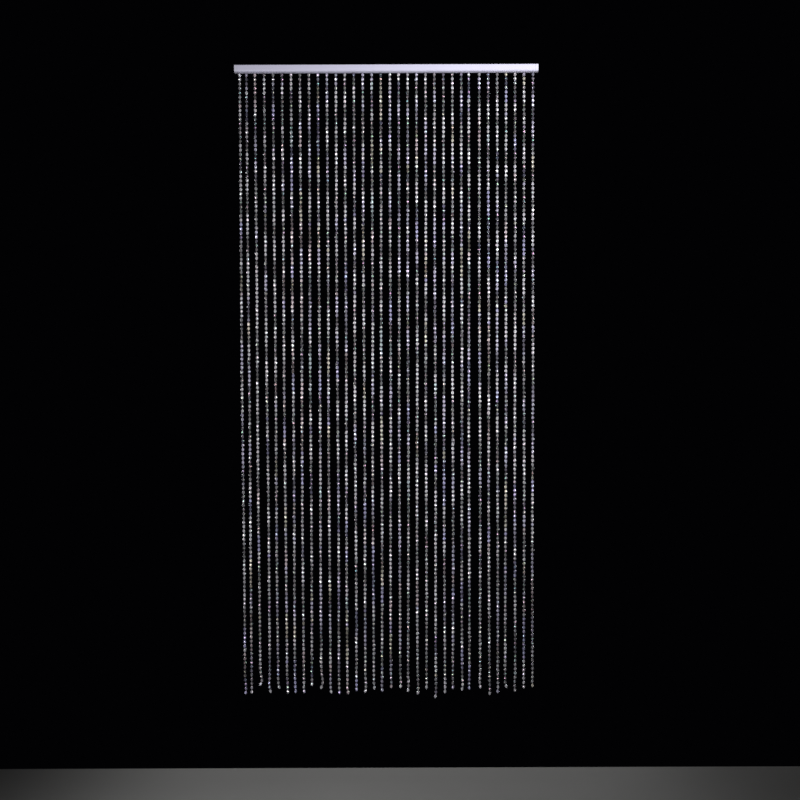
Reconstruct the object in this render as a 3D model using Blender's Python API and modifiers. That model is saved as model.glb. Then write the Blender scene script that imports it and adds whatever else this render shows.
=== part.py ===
"""Bead curtain with header rail: a slotted white rail from which 34 bead strings hang.

Metres, +Z up. The origin is the centre of the rail's back face, the face that meets the wall:
X runs along the rail, -Y points into the room, and the strings hang down -Z.
"""

import math
from typing import NamedTuple

import bmesh
import bpy
from mathutils import Matrix

MM = 0.001

# Header rail: an extruded channel, open along the middle of its underside
CURTAIN_WIDTH = 1306.0 * MM        # over both end caps
RAIL_DEPTH = 32.0 * MM             # front to back
RAIL_HEIGHT = 31.0 * MM
RAIL_WALL = 2.0 * MM
RAIL_SLOT = 8.0 * MM               # width of the gap between the two lips
RAIL_NOSE_RADIUS = 10.0 * MM       # lower front edge
RAIL_EDGE_RADIUS = 2.5 * MM        # the other three outer edges
ARC_STEP = math.radians(7.5)       # one facet of a rounded edge
WELD_DISTANCE = 0.01 * MM          # joins a curve's caps to its sides
SMOOTH_ANGLE = math.radians(30.0)  # edges sharper than this stay crisp
BEVEL_ANGLE = math.radians(60.0)   # edges sharper than this are rounded

# Moulded end caps: an end block and a plug above the batten
CAP_LENGTH = 12.0 * MM
PLUG_LENGTH = 14.0 * MM
PLUG_BURIED = 2.0 * MM             # how far the plug starts inside its own end block
CAP_EDGE = 1.2 * MM                # rounding of the outer end's rim
FIT_GAP = 0.3 * MM                 # between pieces that touch on the real thing

# Batten that lies on the rail's lips and carries every string
BATTEN_DEPTH = 12.0 * MM
BATTEN_HEIGHT = 6.0 * MM
BATTEN_END_CLEARANCE = 4.5 * MM    # past the outermost strings
BATTEN_EDGE = 0.6 * MM

# Strings: four-sided, one bead wide across their corners
STRAND_PITCH = 38.6 * MM
STRAND_GRID_SHIFT = -5.6 * MM      # the grid's middle, left of the rail's middle
BEAD_DIAMETER = 12.7 * MM
NECK_DIAMETER = 3.2 * MM           # looped thread above the first bead
FIRST_BEAD_GAP = 2.5 * MM          # from the rail's underside to the first bead
TIP_LENGTH = 6.0 * MM              # the last bead narrows over this length
TIP_RADIUS_SHARE = 0.45
SWAY = 1.2 * MM                    # lazy sideways wave along a string
SWAY_DEPTH = 2.5 * MM              # the same, front to back
SWAY_WAVES = 1.5
SWAY_TURN = 2.4                    # radians by which the wave shifts from string to string
DRIFT_POWER = 1.5                  # a string wanders more and more as it goes down
BELLY_SCALE = 6.75                 # makes the belly's share 1 at its widest, two thirds down a curl
STRAIGHT_STEPS = 10                # segments above the curl
CURL_STEPS = 8                     # segments in the curl at the free end

RAIL_BOTTOM = -RAIL_HEIGHT / 2
SLOT_Y = -RAIL_DEPTH / 2


class Strand(NamedTuple):
    """One string, in millimetres, as it hangs in the photo; sideways is positive to the right."""

    shift: float        # its root, off its regular place on the rail
    drift: float        # how far it has wandered sideways where its curl begins
    drop: float         # from the rail's underside to its free end
    bow: float          # belly of the curl, widest two thirds of the way down it
    curl: float         # the free end, off the line of the string
    curl_length: float  # how much of the string the curl takes


STRANDS = (
    Strand(shift=10.5, drift=0.0, drop=2706, bow=4.5, curl=0.0, curl_length=90),
    Strand(shift=1.0, drift=1.5, drop=2705, bow=-0.5, curl=0.0, curl_length=60),
    Strand(shift=-1.0, drift=1.0, drop=2666, bow=11.0, curl=-7.5, curl_length=55),
    Strand(shift=0.0, drift=5.0, drop=2700, bow=-4.0, curl=5.5, curl_length=95),
    Strand(shift=0.0, drift=2.0, drop=2682, bow=-0.5, curl=8.0, curl_length=35),
    Strand(shift=0.0, drift=2.0, drop=2703, bow=1.5, curl=3.5, curl_length=100),
    Strand(shift=0.0, drift=0.0, drop=2702, bow=1.0, curl=3.0, curl_length=80),
    Strand(shift=0.0, drift=-1.5, drop=2701, bow=-2.0, curl=5.0, curl_length=40),
    Strand(shift=0.0, drift=-3.5, drop=2670, bow=0.5, curl=0.0, curl_length=60),
    Strand(shift=0.0, drift=0.0, drop=2683, bow=8.0, curl=-6.5, curl_length=80),
    Strand(shift=0.0, drift=0.0, drop=2704, bow=-1.5, curl=4.0, curl_length=90),
    Strand(shift=0.0, drift=0.5, drop=2707, bow=0.5, curl=3.0, curl_length=60),
    Strand(shift=0.0, drift=-2.5, drop=2707, bow=-1.0, curl=6.5, curl_length=40),
    Strand(shift=0.0, drift=-1.0, drop=2693, bow=-0.5, curl=1.0, curl_length=60),
    Strand(shift=0.0, drift=1.0, drop=2701, bow=4.0, curl=-4.5, curl_length=70),
    Strand(shift=0.0, drift=-2.5, drop=2687, bow=-1.0, curl=4.0, curl_length=60),
    Strand(shift=0.0, drift=-3.5, drop=2696, bow=-1.5, curl=3.0, curl_length=60),
    Strand(shift=1.0, drift=-4.5, drop=2682, bow=3.0, curl=-1.5, curl_length=60),
    Strand(shift=0.0, drift=-2.5, drop=2681, bow=3.5, curl=-0.5, curl_length=70),
    Strand(shift=0.0, drift=-4.0, drop=2698, bow=2.5, curl=-2.5, curl_length=80),
    Strand(shift=0.0, drift=-2.5, drop=2710, bow=2.0, curl=0.0, curl_length=90),
    Strand(shift=0.0, drift=-1.5, drop=2684, bow=1.5, curl=-1.5, curl_length=60),
    Strand(shift=0.0, drift=2.0, drop=2726, bow=2.0, curl=-6.5, curl_length=55),
    Strand(shift=0.0, drift=1.5, drop=2704, bow=1.5, curl=-2.5, curl_length=40),
    Strand(shift=0.0, drift=-0.5, drop=2686, bow=-1.0, curl=1.0, curl_length=60),
    Strand(shift=0.0, drift=1.0, drop=2694, bow=3.0, curl=-3.0, curl_length=70),
    Strand(shift=-6.5, drift=0.0, drop=2689, bow=-1.5, curl=0.0, curl_length=60),
    Strand(shift=0.0, drift=4.0, drop=2684, bow=-3.0, curl=3.5, curl_length=70),
    Strand(shift=0.0, drift=5.0, drop=2714, bow=1.0, curl=0.0, curl_length=60),
    Strand(shift=0.0, drift=3.0, drop=2704, bow=2.0, curl=-1.5, curl_length=70),
    Strand(shift=0.0, drift=-2.0, drop=2682, bow=-2.0, curl=10.0, curl_length=45),
    Strand(shift=0.0, drift=1.5, drop=2699, bow=-3.0, curl=0.5, curl_length=90),
    Strand(shift=0.0, drift=2.5, drop=2685, bow=-0.5, curl=1.0, curl_length=60),
    Strand(shift=0.0, drift=1.5, drop=2680, bow=-1.5, curl=0.5, curl_length=60),
)


def clear_scene():
    """Empty the file, whatever it opened with."""
    for obj in list(bpy.data.objects):
        bpy.data.objects.remove(obj, do_unlink=True)


def make_collection(name):
    """A collection of the scene for one kind of object."""
    collection = bpy.data.collections.new(name)
    bpy.context.scene.collection.children.link(collection)
    return collection


def make_material(name, colour, roughness, metallic=0.0):
    """A Principled material from a linear colour, roughness and metallic value."""
    material = bpy.data.materials.new(name)
    material.use_nodes = True
    shader = material.node_tree.nodes["Principled BSDF"]
    shader.inputs["Base Color"].default_value = (*colour, 1.0)
    shader.inputs["Roughness"].default_value = roughness
    shader.inputs["Metallic"].default_value = metallic
    return material


def arc(centre, radius, start, end):
    """Points of an arc from one angle to another, both in degrees, in facets of ARC_STEP."""
    first = math.radians(start)
    sweep = math.radians(end) - first
    steps = max(1, round(abs(sweep) / ARC_STEP))
    points = []
    for step in range(steps + 1):
        angle = first + sweep * step / steps
        points.append((centre[0] + radius * math.cos(angle), centre[1] + radius * math.sin(angle)))
    return points


def rounded_outline(inset, nose_radius, edge_radius):
    """The rail's outline, drawn in by an inset: (y, z) points, anticlockwise from the underside."""
    front = -RAIL_DEPTH + inset
    back = -inset
    bottom = RAIL_BOTTOM + inset
    top = RAIL_HEIGHT / 2 - inset
    points = arc((back - edge_radius, bottom + edge_radius), edge_radius, 270, 360)
    points += arc((back - edge_radius, top - edge_radius), edge_radius, 0, 90)
    points += arc((front + edge_radius, top - edge_radius), edge_radius, 90, 180)
    points += arc((front + nose_radius, bottom + nose_radius), nose_radius, 180, 270)
    return points


def channel_outline():
    """The rail's C section: the outer outline from lip to lip, and back along the inside."""
    outer = rounded_outline(0.0, RAIL_NOSE_RADIUS, RAIL_EDGE_RADIUS)
    inner = rounded_outline(RAIL_WALL, RAIL_NOSE_RADIUS - RAIL_WALL, RAIL_EDGE_RADIUS - RAIL_WALL)
    back_lip = SLOT_Y + RAIL_SLOT / 2
    front_lip = SLOT_Y - RAIL_SLOT / 2
    outline = [(back_lip, RAIL_BOTTOM)] + outer + [(front_lip, RAIL_BOTTOM)]
    outline += [(front_lip, RAIL_BOTTOM + RAIL_WALL)] + inner[::-1]
    outline += [(back_lip, RAIL_BOTTOM + RAIL_WALL)]
    return outline


def curve_to_mesh(curve_object, collection, name):
    """Turn a curve object into a mesh object with welded caps, in the same place."""
    bpy.context.view_layer.update()
    graph = bpy.context.evaluated_depsgraph_get()
    mesh = bpy.data.meshes.new_from_object(curve_object.evaluated_get(graph))
    mesh.name = name
    work = bmesh.new()
    work.from_mesh(mesh)
    bmesh.ops.remove_doubles(work, verts=work.verts, dist=WELD_DISTANCE)
    bmesh.ops.recalc_face_normals(work, faces=work.faces)
    work.to_mesh(mesh)
    work.free()
    place = curve_object.matrix_world.copy()
    bpy.data.objects.remove(curve_object, do_unlink=True)
    obj = bpy.data.objects.new(name, mesh)
    obj.matrix_world = place
    collection.objects.link(obj)
    return obj


def extrude_along_x(outline, length, centre_x, collection, name):
    """A solid with an outline in Y and Z, extruded along X around a centre."""
    curve = bpy.data.curves.new(name, "CURVE")
    curve.dimensions = "2D"
    curve.fill_mode = "BOTH"
    curve.extrude = length / 2
    spline = curve.splines.new("POLY")
    spline.points.add(len(outline) - 1)
    for point, (y, z) in zip(spline.points, outline):
        point.co = (y, z, 0.0, 1.0)
    spline.use_cyclic_u = True
    drawing = bpy.data.objects.new(name, curve)
    collection.objects.link(drawing)
    drawing.rotation_euler = (math.pi / 2, 0.0, math.pi / 2)
    drawing.location = (centre_x, 0.0, 0.0)
    return curve_to_mesh(drawing, collection, name)


def make_box(name, size, centre, collection):
    """A box of a given size, its size held in its mesh and its place in its location."""
    mesh = bpy.data.meshes.new(name)
    work = bmesh.new()
    bmesh.ops.create_cube(work, size=1.0, matrix=Matrix.Diagonal((*size, 1.0)))
    work.to_mesh(mesh)
    work.free()
    box = bpy.data.objects.new(name, mesh)
    box.location = centre
    collection.objects.link(box)
    return box


def add_bevel(obj, width, segments):
    """Round the hard edges of a solid."""
    bevel = obj.modifiers.new("rounded edges", "BEVEL")
    bevel.width = width
    bevel.segments = segments
    bevel.limit_method = "ANGLE"
    bevel.angle_limit = BEVEL_ANGLE


def add_union(obj, other, cutters):
    """Join another solid to this one, and keep the other only as a wire guide."""
    union = obj.modifiers.new("joined " + other.name, "BOOLEAN")
    union.operation = "UNION"
    union.solver = "EXACT"
    union.object = other
    for owner in list(other.users_collection):
        owner.objects.unlink(other)
    cutters.objects.link(other)
    other.hide_render = True
    other.display_type = "WIRE"


def finish_piece(obj, material):
    """Give a piece its material, and shade it smooth but for its crisp edges."""
    obj.data.materials.clear()
    obj.data.materials.append(material)
    obj.data.shade_smooth()
    obj.data.set_sharp_from_angle(angle=SMOOTH_ANGLE)


def make_rail(collection, material):
    """The slotted header rail, between the two end caps."""
    length = CURTAIN_WIDTH - 2 * (CAP_LENGTH + FIT_GAP)
    rail = extrude_along_x(channel_outline(), length, 0.0, collection, "header_rail")
    finish_piece(rail, material)
    return rail


def make_end_cap(side, name, collection, cutters, material):
    """An end block with the rail's outline and a plug that fills the channel above the batten.

    side is -1 for the left end and +1 for the right.
    """
    outline = rounded_outline(0.0, RAIL_NOSE_RADIUS, RAIL_EDGE_RADIUS)
    centre = side * (CURTAIN_WIDTH / 2 - CAP_LENGTH / 2)
    cap = extrude_along_x(outline, CAP_LENGTH, centre, collection, name)
    add_bevel(cap, CAP_EDGE, 2)

    inside = RAIL_WALL + FIT_GAP
    floor = RAIL_BOTTOM + RAIL_WALL + FIT_GAP + BATTEN_HEIGHT + FIT_GAP
    ceiling = RAIL_HEIGHT / 2 - inside
    plug_size = (PLUG_LENGTH + PLUG_BURIED, RAIL_DEPTH - 2 * inside, ceiling - floor)
    plug_x = CURTAIN_WIDTH / 2 - CAP_LENGTH + PLUG_BURIED - plug_size[0] / 2
    plug_centre = (side * plug_x, -RAIL_DEPTH / 2, (ceiling + floor) / 2)
    plug = make_box(name + "_plug", plug_size, plug_centre, cutters)
    add_bevel(plug, CAP_EDGE, 1)
    add_union(cap, plug, cutters)
    finish_piece(cap, material)
    return cap


def strand_root_x(index):
    """Where a string leaves the batten."""
    middle = (len(STRANDS) - 1) / 2
    return STRAND_GRID_SHIFT + (index - middle) * STRAND_PITCH + STRANDS[index].shift * MM


def strand_sway(index, share):
    """The lazy wave of a string at a share of its drop: sideways and front to back."""
    phase = SWAY_WAVES * 2 * math.pi * share + SWAY_TURN * index
    fade = math.sin(math.pi * min(share, 0.5))
    return SWAY * math.sin(phase) * fade, SWAY_DEPTH * math.cos(phase) * fade


def strand_centre(index, depth):
    """The middle of a string at a depth below the rail's underside."""
    strand = STRANDS[index]
    drop = strand.drop * MM
    curl_length = strand.curl_length * MM
    above_curl = drop - curl_length
    drift = strand.drift * MM * min(depth / above_curl, 1.0) ** DRIFT_POWER
    curl_share = max(depth - above_curl, 0.0) / curl_length
    belly = BELLY_SCALE * curl_share ** 2 * (1 - curl_share)
    curl = strand.curl * MM * curl_share ** 3 + strand.bow * MM * belly
    sideways, forwards = strand_sway(index, depth / drop)
    return strand_root_x(index) + drift + curl + sideways, SLOT_Y + forwards, RAIL_BOTTOM - depth


def strand_depths(index):
    """The depths at which a string has a point: even steps down to the curl, short ones in it."""
    strand = STRANDS[index]
    curl_length = strand.curl_length * MM
    above_curl = strand.drop * MM - curl_length
    depths = []
    for step in range(STRAIGHT_STEPS + 1):
        depths.append(FIRST_BEAD_GAP + (above_curl - FIRST_BEAD_GAP) * step / STRAIGHT_STEPS)
    for step in range(1, CURL_STEPS):
        depths.append(above_curl + (curl_length - TIP_LENGTH) * step / (CURL_STEPS - 1))
    depths.append(strand.drop * MM)
    return depths


def strand_points(index):
    """The points of a string with the share of the bead's radius that it has at each."""
    x, y, _ = strand_centre(index, 0.0)
    neck_share = NECK_DIAMETER / BEAD_DIAMETER
    batten_middle = RAIL_BOTTOM + RAIL_WALL + FIT_GAP + BATTEN_HEIGHT / 2
    points = [((x, y, batten_middle), neck_share), ((x, y, RAIL_BOTTOM), neck_share)]
    for depth in strand_depths(index):
        points.append((strand_centre(index, depth), 1.0))
    points[-1] = (points[-1][0], TIP_RADIUS_SHARE)
    return points


def make_strands(collection):
    """Every string as one four-sided tube each, all in one mesh."""
    curve = bpy.data.curves.new("strings", "CURVE")
    curve.dimensions = "3D"
    curve.bevel_depth = BEAD_DIAMETER / 2
    curve.bevel_resolution = 0
    curve.use_fill_caps = True
    curve.twist_mode = "MINIMUM"
    for index in range(len(STRANDS)):
        points = strand_points(index)
        spline = curve.splines.new("POLY")
        spline.points.add(len(points) - 1)
        for point, (place, radius_share) in zip(spline.points, points):
            point.co = (*place, 1.0)
            point.radius = radius_share
    drawing = bpy.data.objects.new("strings", curve)
    collection.objects.link(drawing)
    return curve_to_mesh(drawing, collection, "strings")


def make_strand_set(collection, cutters, material):
    """The batten with all its strings, as one body."""
    left = strand_root_x(0) - BATTEN_END_CLEARANCE
    right = strand_root_x(len(STRANDS) - 1) + BATTEN_END_CLEARANCE
    size = (right - left, BATTEN_DEPTH, BATTEN_HEIGHT)
    height = RAIL_BOTTOM + RAIL_WALL + FIT_GAP + BATTEN_HEIGHT / 2
    batten = make_box("bead_strands", size, ((left + right) / 2, SLOT_Y, height), collection)
    add_bevel(batten, BATTEN_EDGE, 1)
    add_union(batten, make_strands(collection), cutters)
    finish_piece(batten, material)
    return batten


def main():
    """Build the curtain."""
    clear_scene()
    parts = make_collection("bead_curtain")
    cutters = make_collection("cutters")
    powder_coat = make_material("white powder coat", (0.80, 0.79, 0.86), 0.35)
    cap_plastic = make_material("white moulded plastic", (0.85, 0.85, 0.88), 0.40)
    clear_acrylic = make_material("clear iridescent acrylic", (0.74, 0.73, 0.80), 0.08)
    make_rail(parts, powder_coat)
    make_end_cap(-1, "end_cap_left", parts, cutters, cap_plastic)
    make_end_cap(1, "end_cap_right", parts, cutters, cap_plastic)
    make_strand_set(parts, cutters, clear_acrylic)


main()
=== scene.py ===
"""Looks of the bead curtain: 34 strings of cut clear beads that hang from a slotted white rail.

Metres, +Z up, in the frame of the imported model: X runs along the rail, -Y points into the room,
and the strings hang down -Z from a batten that lies in the rail's channel.
"""

import logging
import math
from dataclasses import dataclass, field
from enum import Enum

import bmesh
import bpy
import numpy as np
from mathutils import Matrix, Vector


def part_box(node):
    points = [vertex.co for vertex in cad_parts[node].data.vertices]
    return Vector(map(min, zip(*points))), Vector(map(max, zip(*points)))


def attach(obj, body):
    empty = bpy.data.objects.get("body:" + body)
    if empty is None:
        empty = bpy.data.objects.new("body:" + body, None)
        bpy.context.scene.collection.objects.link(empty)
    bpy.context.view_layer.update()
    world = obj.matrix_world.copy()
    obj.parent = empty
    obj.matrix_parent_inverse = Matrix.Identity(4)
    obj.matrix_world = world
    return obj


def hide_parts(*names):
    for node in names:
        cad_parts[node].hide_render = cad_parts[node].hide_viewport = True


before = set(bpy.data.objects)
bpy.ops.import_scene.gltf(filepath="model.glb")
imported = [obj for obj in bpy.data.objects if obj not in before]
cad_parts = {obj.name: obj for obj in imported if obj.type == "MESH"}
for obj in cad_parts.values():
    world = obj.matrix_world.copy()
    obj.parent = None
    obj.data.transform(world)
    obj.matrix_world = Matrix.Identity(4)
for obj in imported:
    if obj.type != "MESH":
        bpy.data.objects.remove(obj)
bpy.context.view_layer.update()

MM = 0.001
BODY = "root"
RAIL_NODE = "header_rail"
CAP_NODES = ("end_cap_left", "end_cap_right")
STRAND_NODE = "bead_strands"

# Numbers of the Mix node's sockets for colours, whose names are shared by its other sockets
MIX_FACTOR, MIX_LOW, MIX_HIGH, MIX_RESULT = 0, 6, 7, 2

log = logging.getLogger("bead_curtain")


class Slot(Enum):
    """Names of two of the record's material slots, which nothing in this script reads."""

    ACRYLIC = "clear_acrylic"
    PLASTIC = "cap_plastic"


def linear_colour(code: str) -> tuple[float, float, float, float]:
    """Turn an sRGB hex colour into a linear one, by the curve of the sRGB standard.

    Args:
        code: The colour, as "#RRGGBB".

    Returns:
        Linear red, green and blue, and an alpha of 1.
    """
    knee, slope, offset, power = 0.04045, 12.92, 0.055, 2.4
    channels = [int(code[start:start + 2], 16) / 255 for start in (1, 3, 5)]
    linear = [c / slope if c <= knee else ((c + offset) / (1 + offset)) ** power for c in channels]
    return (*linear, 1.0)


def add_node(
    tree: bpy.types.NodeTree,
    kind: str,
    settings: dict | None = None,
    values: dict | None = None,
    links: dict | None = None,
) -> bpy.types.Node:
    """Add a shader node with its settings, socket values and incoming links.

    Args:
        tree: The material's node tree.
        kind: Blender's name of the node type.
        settings: Properties of the node by name.
        values: Socket values by the input's name or number.
        links: Sockets to read from, by the input's name or number.

    Returns:
        The new node.
    """
    node = tree.nodes.new(kind)
    for name, value in (settings or {}).items():
        setattr(node, name, value)
    for name, value in (values or {}).items():
        node.inputs[name].default_value = value
    for name, source in (links or {}).items():
        tree.links.new(source, node.inputs[name])
    return node


def start_material(name: str, values: dict) -> tuple[bpy.types.Material, bpy.types.Node]:
    """Make a material that holds a Principled shader and its output.

    Args:
        name: What the real material is.
        values: Constant values of the shader's own sockets.

    Returns:
        The material and its Principled shader.
    """
    material = bpy.data.materials.new(name)
    material.use_nodes = True
    tree = material.node_tree
    tree.nodes.clear()
    shader = add_node(tree, "ShaderNodeBsdfPrincipled", values=values)
    add_node(tree, "ShaderNodeOutputMaterial", links={"Surface": shader.outputs["BSDF"]})
    return material, shader


def link_object(name: str, data: bpy.types.ID) -> bpy.types.Object:
    """Put a mesh, curve, light or camera into a new object of the scene, at the origin.

    Args:
        name: The object's name.
        data: What it holds.

    Returns:
        The linked object.
    """
    piece = bpy.data.objects.new(name, data)
    bpy.context.scene.collection.objects.link(piece)
    return piece


def mesh_object(name: str, work: bmesh.types.BMesh) -> bpy.types.Object:
    """Put a finished bmesh into a new object at the origin, and free it.

    Args:
        name: The piece's name.
        work: The shape, in place.

    Returns:
        The linked object.
    """
    mesh = bpy.data.meshes.new(name)
    work.to_mesh(mesh)
    work.free()
    return link_object(name, mesh)


def settle(piece: bpy.types.Object, material: bpy.types.Material) -> None:
    """Dress a piece of the strand set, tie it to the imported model, and log it.

    Args:
        piece: The piece, in place.
        material: Its finish.
    """
    piece.data.materials.append(material)
    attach(piece, BODY)
    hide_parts(STRAND_NODE)
    log.info("%s: %d faces", piece.name, len(piece.data.polygons))


def noise(tree: bpy.types.NodeTree, size: float, detail: float) -> bpy.types.NodeSocket:
    """Add noise that is fixed to the piece.

    Args:
        tree: The material's node tree.
        size: The width of a patch of the noise.
        detail: How many finer layers lie over the patches.

    Returns:
        The socket that gives the noise, from 0 to 1.
    """
    place = add_node(tree, "ShaderNodeTexCoord").outputs["Object"]
    patches = add_node(
        tree, "ShaderNodeTexNoise", values={"Scale": 1 / size, "Detail": detail}, links={"Vector": place})
    return patches.outputs["Fac"]


def vary_colour(
    shader: bpy.types.Node, source: bpy.types.NodeSocket, low: str, high: str
) -> None:
    """Colour a finish with two close tones that run into each other.

    Args:
        shader: The finish's Principled shader.
        source: The socket that says where each tone lies.
        low: The hex colour where the source is 0.
        high: The hex colour where the source is 1.
    """
    tree = shader.id_data
    colour = add_node(
        tree, "ShaderNodeMix", settings={"data_type": "RGBA"},
        values={MIX_LOW: linear_colour(low), MIX_HIGH: linear_colour(high)},
        links={MIX_FACTOR: source})
    tree.links.new(colour.outputs[MIX_RESULT], shader.inputs["Base Color"])


def vary_gloss(
    shader: bpy.types.Node, source: bpy.types.NodeSocket, least: float, most: float
) -> None:
    """Make a finish a little rougher in some places than in others.

    Args:
        shader: The finish's Principled shader.
        source: The socket that says how rough each place is.
        least: The roughness where the source is 0.
        most: The roughness where the source is 1.
    """
    tree = shader.id_data
    gloss = add_node(
        tree, "ShaderNodeMapRange", values={"To Min": least, "To Max": most}, links={"Value": source})
    tree.links.new(gloss.outputs["Result"], shader.inputs["Roughness"])


def raise_grain(
    shader: bpy.types.Node, source: bpy.types.NodeSocket, strength: float, height: float
) -> None:
    """Give a finish a grain that catches the light.

    Args:
        shader: The finish's Principled shader.
        source: The socket that says how high each place is.
        strength: The share of the grain that shows.
        height: How high the grain stands.
    """
    tree = shader.id_data
    bump = add_node(
        tree, "ShaderNodeBump", values={"Strength": strength, "Distance": height},
        links={"Height": source})
    tree.links.new(bump.outputs["Normal"], shader.inputs["Normal"])


@dataclass(frozen=True)
class PowderCoat:
    """White powder coat, sprayed on aluminium and baked: a satin skin with a fine orange peel."""

    colour: str = "#C8C6DA"
    shade: str = "#C0BDD4"
    patch_size: float = 90 * MM
    patch_detail: float = 3.0
    ior: float = 1.5
    roughness: float = 0.36
    smoother: float = 0.04
    rougher: float = 0.06
    peel_size: float = 1.8 * MM
    peel_detail: float = 2.0
    peel_height: float = 0.03 * MM
    peel_strength: float = 0.5

    def material(self) -> bpy.types.Material:
        """Build the finish: it gives the eye a cool lavender white that is never quite even."""
        material, shader = start_material("white_powder_coat", {"IOR": self.ior})
        tree = material.node_tree
        vary_colour(shader, noise(tree, self.patch_size, self.patch_detail), self.shade, self.colour)
        peel = noise(tree, self.peel_size, self.peel_detail)
        vary_gloss(shader, peel, self.roughness - self.smoother, self.roughness + self.rougher)
        raise_grain(shader, peel, self.peel_strength, self.peel_height)
        return material


@dataclass(frozen=True)
class MouldedPlastic:
    """White polypropylene, injection moulded against a spark-eroded tool: an even, softer white."""

    colour: str = "#C8C6D7"
    shade: str = "#C0BED0"
    flow_size: float = 14 * MM
    flow_detail: float = 2.0
    ior: float = 1.49
    roughness: float = 0.48
    smoother: float = 0.05
    rougher: float = 0.05
    grain_size: float = 0.9 * MM
    grain_detail: float = 1.0
    grain_height: float = 0.02 * MM
    grain_strength: float = 0.4

    def material(self) -> bpy.types.Material:
        """Build the finish: it gives the eye plain ends in the rail's own tone, a little duller."""
        material, shader = start_material("white_moulded_polypropylene", {"IOR": self.ior})
        tree = material.node_tree
        vary_colour(shader, noise(tree, self.flow_size, self.flow_detail), self.shade, self.colour)
        grain = noise(tree, self.grain_size, self.grain_detail)
        vary_gloss(shader, grain, self.roughness - self.smoother, self.roughness + self.rougher)
        raise_grain(shader, grain, self.grain_strength, self.grain_height)
        return material


class BeadTint(Enum):
    """Hues that the beads' iridescent coating turns to, and the share of the runs with each."""

    CLEAR = ("#F3F0F9", 0.59)
    LAVENDER = ("#E2DDF8", 0.22)
    VIOLET = ("#D0CCF6", 0.08)
    ROSE = ("#F3E2EA", 0.06)
    STRAW = ("#F3ECE0", 0.04)
    AQUA = ("#DCEAF2", 0.01)

    def __init__(self, code: str, share: float) -> None:
        """Name the two values of a member."""
        self.code = code
        self.share = share


@dataclass(frozen=True)
class CutAcrylic:
    """Clear acrylic with an iridescent vapour coating, moulded with flat facets and tumbled."""

    ior: float = 1.49
    roughness: float = 0.17
    smoother: float = 0.03
    rougher: float = 0.05
    clearness: float = 0.35
    coating: float = 0.22
    film_ior: float = 1.75
    cloud_size: float = 5 * MM
    cloud_detail: float = 2.0
    tint_name: str = "bead_tint"
    painted_light_name: str = "painted_glints_and_reflections"
    film_name: str = "film_thickness"

    def hue(self, tree: bpy.types.NodeTree) -> bpy.types.NodeSocket:
        """Turn the tint number that is stored on each facet into its hue.

        Args:
            tree: The material's node tree.

        Returns:
            The socket that gives the hue.
        """
        tint = add_node(tree, "ShaderNodeAttribute", settings={"attribute_name": self.tint_name})
        ramp = add_node(tree, "ShaderNodeValToRGB", links={"Fac": tint.outputs["Fac"]})
        ramp.color_ramp.interpolation = "CONSTANT"
        while len(ramp.color_ramp.elements) < len(BeadTint):
            ramp.color_ramp.elements.new(1.0)
        for number, (stop, hue) in enumerate(zip(ramp.color_ramp.elements, BeadTint)):
            stop.position = number / len(BeadTint)
            stop.color = linear_colour(hue.code)
        return ramp.outputs["Color"]

    def material(self) -> bpy.types.Material:
        """Build the finish: it gives the eye grey glass with white and faintly coloured glints, some of
        them painted into the base colour, bead by bead and facet by facet.
        """
        values = {
            "IOR": self.ior,
            "Metallic": self.coating,
            "Transmission Weight": self.clearness,
            "Thin Film IOR": self.film_ior,
        }
        material, shader = start_material("iridescent_cut_acrylic", values)
        tree = material.node_tree
        film = add_node(tree, "ShaderNodeAttribute", settings={"attribute_name": self.film_name})
        tree.links.new(film.outputs["Fac"], shader.inputs["Thin Film Thickness"])
        # The base colour is multiplied by painted glints on each bead and painted internal reflections on
        # each facet
        facet = add_node(tree, "ShaderNodeAttribute", settings={"attribute_name": self.painted_light_name})
        shade = add_node(
            tree, "ShaderNodeMix", settings={"data_type": "RGBA", "blend_type": "MULTIPLY"},
            values={MIX_FACTOR: 1.0},
            links={MIX_LOW: self.hue(tree), MIX_HIGH: facet.outputs["Color"]})
        tree.links.new(shade.outputs[MIX_RESULT], shader.inputs["Base Color"])
        cloud = noise(tree, self.cloud_size, self.cloud_detail)
        vary_gloss(shader, cloud, self.roughness - self.smoother, self.roughness + self.rougher)
        return material


@dataclass(frozen=True)
class Monofilament:
    """Clear nylon line, drawn and stretched: slightly milky, with fine marks along it."""

    colour: str = "#E4E4E8"
    mark: str = "#CFCFD6"
    mark_size: float = 3 * MM
    mark_detail: float = 1.0
    ior: float = 1.53
    roughness: float = 0.22
    clearness: float = 0.55

    def material(self) -> bpy.types.Material:
        """Build the finish: it gives the eye a thin grey line in the gaps between beads."""
        values = {"IOR": self.ior, "Roughness": self.roughness, "Transmission Weight": self.clearness}
        material, shader = start_material("clear_nylon_line", values)
        marks = noise(material.node_tree, self.mark_size, self.mark_detail)
        vary_colour(shader, marks, self.mark, self.colour)
        return material


@dataclass(frozen=True)
class PaintedFloor:
    """Pale matt floor paint, rolled on."""

    colour: str = "#D9D8D6"
    shade: str = "#CFCECC"
    patch_size: float = 400 * MM
    patch_detail: float = 4.0
    roughness: float = 0.7

    def material(self) -> bpy.types.Material:
        """Build the finish: it gives the eye a quiet, even ground."""
        material, shader = start_material("pale_matt_floor_paint", {"Roughness": self.roughness})
        patches = noise(material.node_tree, self.patch_size, self.patch_detail)
        vary_colour(shader, patches, self.shade, self.colour)
        return material


@dataclass(frozen=True)
class HeaderRail:
    """The coated rail and its two moulded end caps, kept as packed and dressed here."""

    coat: PowderCoat = PowderCoat()
    plastic: MouldedPlastic = MouldedPlastic()

    def dress(self) -> None:
        """Give the rail its coat, and both caps their plastic."""
        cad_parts[RAIL_NODE].data.materials[0] = self.coat.material()
        plastic = self.plastic.material()
        for node in CAP_NODES:
            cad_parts[node].data.materials[0] = plastic


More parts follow.
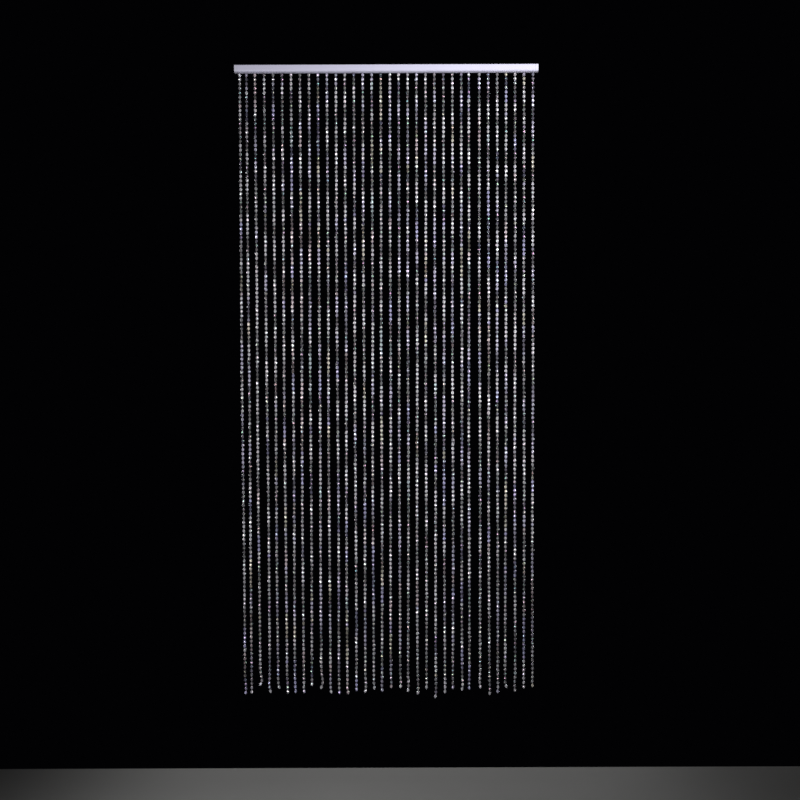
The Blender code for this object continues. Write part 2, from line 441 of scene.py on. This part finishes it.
@dataclass(frozen=True)
class CutBead:
    """A long faceted bead on the Z axis: rings of corners, each turned half a step, and a bore."""

    sides: int = 8
    length: float = 15.0 * MM
    girdle_radius: float = 6.35 * MM
    shoulder_radius: float = 5.2 * MM
    shoulder_height: float = 3.8 * MM
    end_radius: float = 2.2 * MM
    bore_radius: float = 0.8 * MM
    tolerance: float = 0.01 * MM

    def rings(self) -> list[tuple[float, float]]:
        """Height and radius of each ring of corners, from one end to the other."""
        half = [(self.length / 2, self.end_radius), (self.shoulder_height, self.shoulder_radius)]
        lower = [(-height, radius) for height, radius in reversed(half)]
        return half + [(0.0, self.girdle_radius)] + lower

    def add_ring(
        self, work: bmesh.types.BMesh, height: float, radius: float, turn: float
    ) -> list[bmesh.types.BMEdge]:
        """Add one ring of corners.

        Args:
            work: The bead so far.
            height: The ring's height above the bead's middle.
            radius: The ring's radius to its corners.
            turn: The ring's turn about the axis, in radians.

        Returns:
            The ring's edges.
        """
        place = Matrix.Translation((0.0, 0.0, height)) @ Matrix.Rotation(turn, 4, "Z")
        ring = bmesh.ops.create_circle(work, segments=self.sides, radius=radius, matrix=place)
        corners = set(ring["verts"])
        return [edge for edge in work.edges if corners.issuperset(edge.verts)]

    def build(self) -> bmesh.types.BMesh:
        """Cut the facets as a hull over the rings, then open both ends and line the bore."""
        work = bmesh.new()
        for number, (height, radius) in enumerate(self.rings()):
            self.add_ring(work, height, radius, math.pi / self.sides * (number % 2))
        bmesh.ops.convex_hull(work, input=work.verts)
        end = self.length / 2
        near_end = end - self.tolerance
        lids = [face for face in work.faces if all(abs(v.co.z) > near_end for v in face.verts)]
        bmesh.ops.delete(work, geom=lids, context="FACES")
        sides = (1, -1)
        rims = [
            [edge for edge in work.edges if all(side * v.co.z > near_end for v in edge.verts)]
            for side in sides
        ]
        bores = [self.add_ring(work, side * end, self.bore_radius, 0.0) for side in sides]
        for rim, bore in zip(rims, bores):
            bmesh.ops.bridge_loops(work, edges=rim + bore)
        bmesh.ops.bridge_loops(work, edges=bores[0] + bores[1])
        bmesh.ops.recalc_face_normals(work, faces=work.faces)
        return work

    def template(self) -> tuple[np.ndarray, list[tuple[int, ...]]]:
        """Corners and faces of one bead, ready to be laid out by the hundred."""
        work = self.build()
        work.verts.index_update()
        corners = np.array([vertex.co[:] for vertex in work.verts])
        faces = [tuple(vertex.index for vertex in face.verts) for face in work.faces]
        work.free()
        return corners, faces


@dataclass
class StringRoute:
    """The middle line of one string, from the batten down to its free end."""

    points: np.ndarray
    distances: np.ndarray = field(init=False)

    def __post_init__(self) -> None:
        """Measure how far along the string each point lies."""
        steps = np.linalg.norm(np.diff(self.points, axis=0), axis=1)
        self.distances = np.concatenate(([0.0], np.cumsum(steps)))

    def at(self, distances: np.ndarray) -> np.ndarray:
        """Find points along the string.

        Args:
            distances: How far down the string each point lies.

        Returns:
            One point a row.
        """
        axes = [np.interp(distances, self.distances, self.points[:, axis]) for axis in range(3)]
        return np.stack(axes, axis=1)


@dataclass(frozen=True)
class RouteReader:
    """Reads the strings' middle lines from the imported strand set, by slicing it level by level."""

    straight_step: float = 90 * MM
    curl_step: float = 5 * MM
    curl_reach: float = 175 * MM
    parting: float = 12 * MM
    tip_margin: float = 4 * MM

    def levels(self, top: float, bottom: float) -> np.ndarray:
        """Heights of the slices, close together where the free ends curl.

        Args:
            top: Height of the first slice.
            bottom: Height of the lowest free end.

        Returns:
            The heights, from the top down.
        """
        curl_top = bottom + self.curl_reach
        straight = np.arange(top, curl_top, -self.straight_step)
        return np.concatenate((straight, np.arange(curl_top, bottom, -self.curl_step)))

    def cuts(self, level: float, starts: np.ndarray, ends: np.ndarray) -> np.ndarray:
        """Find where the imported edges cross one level.

        Args:
            level: Height of the slice.
            starts: The first corner of every edge.
            ends: The second corner of every edge.

        Returns:
            One crossing a row.
        """
        crossing = (starts[:, 2] > level) != (ends[:, 2] > level)
        upper, lower = starts[crossing], ends[crossing]
        share = (level - upper[:, 2]) / (lower[:, 2] - upper[:, 2])
        return upper + (lower - upper) * share[:, None]

    def read(self, top: float) -> list[StringRoute]:
        """Slice the strand set.

        Args:
            top: Height at which every string's middle line starts.

        Returns:
            One route for each string, from left to right.
        """
        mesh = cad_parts[STRAND_NODE].data
        corners = np.empty(len(mesh.vertices) * 3)
        mesh.vertices.foreach_get("co", corners)
        corners = corners.reshape(-1, 3)
        edges = np.empty(len(mesh.edges) * 2, dtype=int)
        mesh.edges.foreach_get("vertices", edges)
        starts, ends = corners[edges[0::2]], corners[edges[1::2]]
        tracks: list[list[np.ndarray]] = []
        for level in self.levels(top, corners[:, 2].min()):
            cuts = self.cuts(level, starts, ends)
            if not tracks:
                cuts = cuts[cuts[:, 0].argsort()]
                partings = np.flatnonzero(np.diff(cuts[:, 0]) > self.parting) + 1
                tracks = [[self.middle(group)] for group in np.split(cuts, partings)]
                continue
            last = np.array([track[-1][0] for track in tracks])
            owners = np.abs(cuts[:, :1] - last).argmin(axis=1)
            for number, track in enumerate(tracks):
                if np.any(owners == number):
                    track.append(self.middle(cuts[owners == number]))
        return [StringRoute(self.finish(np.array(track), corners)) for track in tracks]

    def middle(self, points: np.ndarray) -> np.ndarray:
        """The middle of a slice through one string."""
        return (points.min(axis=0) + points.max(axis=0)) / 2

    def finish(self, track: np.ndarray, corners: np.ndarray) -> np.ndarray:
        """Carry a track on to the string's free end.

        Args:
            track: Middles of the string's slices, from the top down.
            corners: All corners of the strand set.

        Returns:
            The track with a last point at the free end.
        """
        near = np.abs(corners[:, 0] - track[-1, 0]) < self.parting
        end = corners[near, 2].min()
        kept = track[track[:, 2] > end + self.tip_margin]
        slope = (kept[-1] - kept[-2]) / (kept[-1, 2] - kept[-2, 2])
        return np.vstack((kept, kept[-1] + slope * (end - kept[-1, 2])))


@dataclass(frozen=True)
class BeadString:
    """One string of beads, end to end along its route, each turned a little against the last."""

    route: StringRoute
    number: int
    bead: CutBead
    finish: CutAcrylic
    pitch: float = 18.75 * MM
    start: float = 2.5 * MM
    knot: float = 2.0 * MM
    twist: float = math.radians(5.5)
    twist_spread: float = math.radians(2)
    wobble: float = math.radians(1.2)
    run_length: float = 3.5
    # The wave lengths, hold, depths, middle, end glint and darkest share set the painted glints on the
    # beads
    wave_top: float = 6.2
    wave_bottom: float = 10.5
    wave_hold: float = 0.78
    depth_top: float = 1.45
    depth_bottom: float = 0.32
    wave_middle: float = 0.54
    painted_end_glint: float = 0.8
    darkest: float = 0.20
    # Random tone and painted internal reflections, from facet to facet
    tone_and_painted_reflection_spread: float = 0.25
    film_middle: float = 420.0
    film_spread: float = 45.0
    seed: int = 4100

    def joints(self) -> np.ndarray:
        """The points between beads, with the two ends of the row."""
        half_gap = (self.pitch - self.bead.length) / 2
        first, last = self.start - half_gap, self.route.distances[-1] - self.knot + half_gap
        count = round((last - first) / self.pitch)
        return self.route.at(np.linspace(first, last, count + 1))

    def turns(self, count: int, chance: np.random.Generator) -> np.ndarray:
        """How far each bead is turned about the string, in radians.

        Args:
            count: The number of beads.
            chance: The string's random numbers.

        Returns:
            One angle a bead.
        """
        steps = chance.normal(self.twist, self.twist_spread, count)
        return chance.uniform(0.0, math.tau) + np.cumsum(steps)

    def axes(self, joints: np.ndarray, chance: np.random.Generator) -> np.ndarray:
        """Three axes for each bead: two across it and one along it.

        Args:
            joints: The points between beads.
            chance: The string's random numbers.

        Returns:
            One 3 by 3 matrix a bead, whose columns are its axes.
        """
        count = len(joints) - 1
        along = np.diff(joints, axis=0)
        along[:, :2] += chance.normal(0.0, self.wobble, (count, 2)) * self.pitch
        along /= np.linalg.norm(along, axis=1, keepdims=True)
        across = np.array((1.0, 0.0, 0.0)) - along * along[:, :1]
        across /= np.linalg.norm(across, axis=1, keepdims=True)
        other = np.cross(along, across)
        angle = self.turns(count, chance)[:, None]
        turned = across * np.cos(angle) + other * np.sin(angle)
        return np.stack((turned, np.cross(along, turned), along), axis=2)

    def tints(self, count: int, chance: np.random.Generator) -> np.ndarray:
        """Each bead's place on the row of tints, the same for a run of a few beads.

        Args:
            count: The number of beads.
            chance: The string's random numbers.

        Returns:
            One number from 0 to 1 a bead.
        """
        shares = np.array([tint.share for tint in BeadTint])
        starts = chance.random(count) < 1 / self.run_length
        choices = chance.choice(len(shares), size=count, p=shares / shares.sum())
        runs = np.maximum.accumulate(np.where(starts, np.arange(count), 0))
        return (choices[runs] + 0.5) / len(shares)

    def painted_glints(self, count: int, chance: np.random.Generator) -> np.ndarray:
        """Painted glints on each bead: waves of lighter and darker beads that stand in for facets turning
        through the light, and a painted glint on the last one.

        Args:
            count: The number of beads.
            chance: The string's random numbers.

        Returns:
            One share of the full tint a bead.
        """
        waves = [0.0, 0.0]
        lengths = np.linspace(self.wave_top, self.wave_bottom, count)
        for length, push in zip(lengths, chance.normal(0.0, 1.0, count)):
            swing = 2 * self.wave_hold * math.cos(math.tau / length)
            waves.append(swing * waves[-1] - self.wave_hold ** 2 * waves[-2] + push)
        heights = np.array(waves[2:]) / np.std(waves[2:])
        # The painted glints run deeper at the top of the string than at the bottom
        heights *= np.linspace(self.depth_top, self.depth_bottom, count)
        # Painted glint on the free last bead
        heights[-1] += self.painted_end_glint
        return np.clip(self.wave_middle * np.exp(heights), self.darkest, 1.0)

    def painted_facet_light(self, count: int, facets: int, chance: np.random.Generator) -> np.ndarray:
        """How light each facet is painted: its bead's painted glints, varying a little from facet to
        facet as random tone and painted internal reflections.

        Args:
            count: The number of beads.
            facets: The number of facets on a bead.
            chance: The string's random numbers.

        Returns:
            One share of the full tint a facet, bead by bead.
        """
        tone_and_painted_reflection = 1.0 - chance.random((count, facets)) * self.tone_and_painted_reflection_spread
        return (self.painted_glints(count, chance)[:, None] * tone_and_painted_reflection).ravel()

    def store(self, mesh: bpy.types.Mesh, name: str, numbers: np.ndarray) -> None:
        """Store one number on each facet, for the finish to read.

        Args:
            mesh: The string of beads.
            name: The name that the finish reads the numbers by.
            numbers: One number a facet, bead by bead.
        """
        layer = mesh.attributes.new(name, "FLOAT", "FACE")
        layer.data.foreach_set("value", numbers)

    def build(self, corners: np.ndarray, faces: list[tuple[int, ...]]) -> bpy.types.Object:
        """Lay the beads along the string as one mesh.

        Args:
            corners: The corners of one bead.
            faces: The faces of one bead.

        Returns:
            The string of beads.
        """
        chance = np.random.default_rng(self.seed + self.number)
        joints = self.joints()
        count = len(joints) - 1
        middles = (joints[:-1] + joints[1:]) / 2
        placed = np.einsum("nij,kj->nki", self.axes(joints, chance), corners) + middles[:, None]
        name = f"bead_string_{self.number:02d}"
        mesh = bpy.data.meshes.new(name)
        firsts = range(0, count * len(corners), len(corners))
        rows = [tuple(first + corner for corner in face) for first in firsts for face in faces]
        mesh.from_pydata(placed.reshape(-1, 3).tolist(), [], rows)
        self.store(mesh, self.finish.tint_name, np.repeat(self.tints(count, chance), len(faces)))
        # Painted glints and painted internal reflections, for the base colour to read
        self.store(mesh, self.finish.painted_light_name, self.painted_facet_light(count, len(faces), chance))
        films = chance.normal(self.film_middle, self.film_spread, count)
        self.store(mesh, self.finish.film_name, np.repeat(films, len(faces)))
        mesh.update()
        return link_object(name, mesh)


@dataclass(frozen=True)
class Batten:
    """The narrow strip that lies on the rail's lips and carries every string."""

    depth: float = 12 * MM
    height: float = 6 * MM
    edge: float = 0.6 * MM
    edge_steps: int = 2
    edge_profile: float = 0.5

    def build(self) -> bpy.types.Object:
        """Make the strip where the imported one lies."""
        low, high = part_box(STRAND_NODE)
        rail_low, rail_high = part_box(RAIL_NODE)
        middle_y = (rail_low.y + rail_high.y) / 2
        centre = Vector(((low.x + high.x) / 2, middle_y, high.z - self.height / 2))
        size = Matrix.Diagonal((high.x - low.x, self.depth, self.height, 1.0))
        work = bmesh.new()
        bmesh.ops.create_cube(work, size=1.0, matrix=Matrix.Translation(centre) @ size)
        bmesh.ops.bevel(
            work, geom=work.edges[:], offset=self.edge, offset_type="OFFSET",
            segments=self.edge_steps, profile=self.edge_profile, affect="EDGES", material=-1)
        return mesh_object("string_batten", work)


@dataclass(frozen=True)
class Threads:
    """The line inside each string: a loop under the batten, then one line down to a knot."""

    radius: float = 0.6 * MM
    loop_width: float = 2.4 * MM
    loop_top: float = 5.0 * MM
    loop_points: int = 12
    point_step: float = 12 * MM
    weld: float = 0.006 * MM
    knot_radius: float = 1.3 * MM
    knot_steps: int = 2

    def add_line(self, curve: bpy.types.Curve, points: np.ndarray, closed: bool) -> None:
        """Add one line to the threads' curve.

        Args:
            curve: The curve that holds every thread.
            points: The points of the line, one a row.
            closed: True for a loop.
        """
        spline = curve.splines.new("POLY")
        spline.points.add(len(points) - 1)
        rows = np.hstack((points, np.ones((len(points), 1))))
        spline.points.foreach_set("co", rows.ravel())
        spline.use_cyclic_u = closed

    def loop(self, top: np.ndarray, drop: float) -> np.ndarray:
        """Points of the loop by which a string hangs.

        Args:
            top: Where the string's middle line starts.
            drop: How far below that the first bead begins.

        Returns:
            The points of a narrow upright loop, one a row.
        """
        angles = np.arange(self.loop_points) * math.tau / self.loop_points
        half_height = (self.loop_top + drop) / 2
        middle = top + np.array((0.0, 0.0, half_height - drop))
        across, up = np.cos(angles) * self.loop_width / 2, np.sin(angles) * half_height
        return middle + np.stack((across, np.zeros_like(across), up), axis=1)

    def build_lines(self, routes: list[StringRoute], first_bead: float) -> bpy.types.Object:
        """Make every thread, in one piece.

        Args:
            routes: The strings' middle lines.
            first_bead: How far down a string its first bead begins.

        Returns:
            The threads.
        """
        curve = bpy.data.curves.new("threads", "CURVE")
        curve.dimensions = "3D"
        curve.bevel_depth = self.radius
        curve.bevel_resolution = 0
        curve.use_fill_caps = True
        curve.twist_mode = "MINIMUM"
        for route in routes:
            count = math.ceil(route.distances[-1] / self.point_step)
            stops = np.linspace(first_bead, route.distances[-1] - self.knot_radius, count)
            self.add_line(curve, route.at(stops), closed=False)
            self.add_line(curve, self.loop(route.points[0], first_bead), closed=True)
        drawing = link_object("threads", curve)
        graph = bpy.context.evaluated_depsgraph_get()
        work = bmesh.new()
        work.from_mesh(drawing.evaluated_get(graph).to_mesh())
        bpy.data.objects.remove(drawing)
        bmesh.ops.remove_doubles(work, verts=work.verts, dist=self.weld)
        bmesh.ops.recalc_face_normals(work, faces=work.faces)
        return mesh_object("string_threads", work)

    def build_knots(self, routes: list[StringRoute]) -> bpy.types.Object:
        """Make the small knot that ends every string, in one piece.

        Args:
            routes: The strings' middle lines.

        Returns:
            The knots.
        """
        work = bmesh.new()
        for route in routes:
            place = Vector(route.points[-1]) + Vector((0.0, 0.0, self.knot_radius))
            bmesh.ops.create_icosphere(
                work, subdivisions=self.knot_steps, radius=self.knot_radius,
                matrix=Matrix.Translation(place))
        return mesh_object("string_knots", work)


@dataclass(frozen=True)
class StrandSet:
    """The batten with its 34 strings, their beads, threads and knots."""

    bead: CutBead = CutBead()
    acrylic: CutAcrylic = CutAcrylic()
    batten: Batten = Batten()
    plastic: MouldedPlastic = MouldedPlastic()
    threads: Threads = Threads()
    line: Monofilament = Monofilament()
    reader: RouteReader = RouteReader()

    def build(self) -> None:
        """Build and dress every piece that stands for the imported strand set."""
        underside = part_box(RAIL_NODE)[0].z
        routes = self.reader.read(underside)
        log.info("read %d string routes", len(routes))
        acrylic = self.acrylic.material()
        corners, faces = self.bead.template()
        total = 0
        for number, route in enumerate(routes, 1):
            string = BeadString(route, number, self.bead, self.acrylic)
            piece = string.build(corners, faces)
            settle(piece, acrylic)
            total += len(piece.data.polygons) // len(faces)
        log.info("%d beads of %d faces", total, len(faces))
        settle(self.batten.build(), self.plastic.material())
        line = self.line.material()
        settle(self.threads.build_lines(routes, BeadString.start), line)
        settle(self.threads.build_knots(routes), line)


@dataclass(frozen=True)
class SoftLight:
    """A gridded soft box that the camera doesn't see."""

    name: str
    place: tuple[float, float, float]
    aim: tuple[float, float, float]
    height: float
    power: float
    width: float = 0.3
    spread: float = math.radians(75)
    colour: str = "#FFFFFF"

    def build(self) -> None:
        """Hang the light and turn it to what it lights."""
        light = bpy.data.lights.new(self.name, "AREA")
        light.shape = "RECTANGLE"
        light.size = self.width
        light.size_y = self.height
        light.energy = self.power
        light.spread = self.spread
        light.color = linear_colour(self.colour)[:3]
        lamp = link_object(self.name, light)
        lamp.location = self.place
        beam = Vector(self.aim) - Vector(self.place)
        lamp.rotation_euler = beam.to_track_quat("-Z", "Y").to_euler()
        lamp.visible_camera = False


@dataclass(frozen=True)
class Studio:
    """A dark room with a pale floor, soft boxes, and the camera where the photo's stood."""

    surround: str = "#020203"
    floor_level: float = -3.10
    floor_left: float = -2.6
    floor_right: float = 2.6
    floor_front: float = -1.6
    floor_back: float = 0.12
    paint: PaintedFloor = PaintedFloor()
    lens: float = 54.0
    sensor: float = 36.0
    camera_place: tuple[float, float, float] = (0.054, -5.238, -1.204)
    camera_pitch: float = math.radians(2.45)
    camera_roll: float = math.radians(-0.2)
    lights: tuple[SoftLight, ...] = (
        SoftLight("key_right", place=(1.45, -1.8, 0.0), aim=(0.45, 0.0, 0.0), height=3.2, power=21.0),
        SoftLight("fill_left", place=(-1.5, -3.2, -1.6), aim=(0.0, 0.0, -1.6), height=2.8, power=21.5),
        SoftLight("back_right", place=(1.55, 2.2, -1.4), aim=(0.2, 0.0, -1.4), height=2.6, power=4.0),
        SoftLight("back_left", place=(-1.5, 2.2, -1.4), aim=(-0.2, 0.0, -1.4), height=2.6, power=4.0),
    )

    def build_floor(self) -> None:
        """Lay the painted floor below the strings' free ends."""
        left, right, front, back = self.floor_left, self.floor_right, self.floor_front, self.floor_back
        middle = Vector(((right + left) / 2, (back + front) / 2, self.floor_level))
        place = Matrix.Translation(middle) @ Matrix.Diagonal((right - left, back - front, 1.0, 1.0))
        work = bmesh.new()
        bmesh.ops.create_grid(work, x_segments=1, y_segments=1, size=0.5, matrix=place)
        floor = mesh_object("floor", work)
        floor.data.materials.append(self.paint.material())

    def build_room(self) -> None:
        """Set the surround, the floor and the lights."""
        scene = bpy.context.scene
        world = bpy.data.worlds.new("dark_room")
        world.use_nodes = True
        background = world.node_tree.nodes["Background"]
        background.inputs["Color"].default_value = linear_colour(self.surround)
        scene.world = world
        scene.view_settings.view_transform = "Standard"
        self.build_floor()
        for light in self.lights:
            light.build()

    def build_camera(self) -> None:
        """Set the camera at the photo's viewing angle."""
        data = bpy.data.cameras.new("photo_camera")
        data.lens = self.lens
        data.sensor_width = self.sensor
        camera = link_object("photo_camera", data)
        tilt = Matrix.Rotation(math.pi / 2 - self.camera_pitch, 4, "X")
        roll = Matrix.Rotation(self.camera_roll, 4, "Z")
        camera.matrix_world = Matrix.Translation(self.camera_place) @ tilt @ roll
        bpy.context.scene.camera = camera


def main() -> None:
    """Build the curtain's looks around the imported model, in order."""
    logging.basicConfig(level=logging.INFO, format="%(message)s")
    studio = Studio()
    studio.build_camera()
    HeaderRail().dress()
    log.info("dressed %s and its caps", RAIL_NODE)
    StrandSet().build()
    studio.build_room()
    log.info("built the room")


if __name__ == "__main__":
    main()
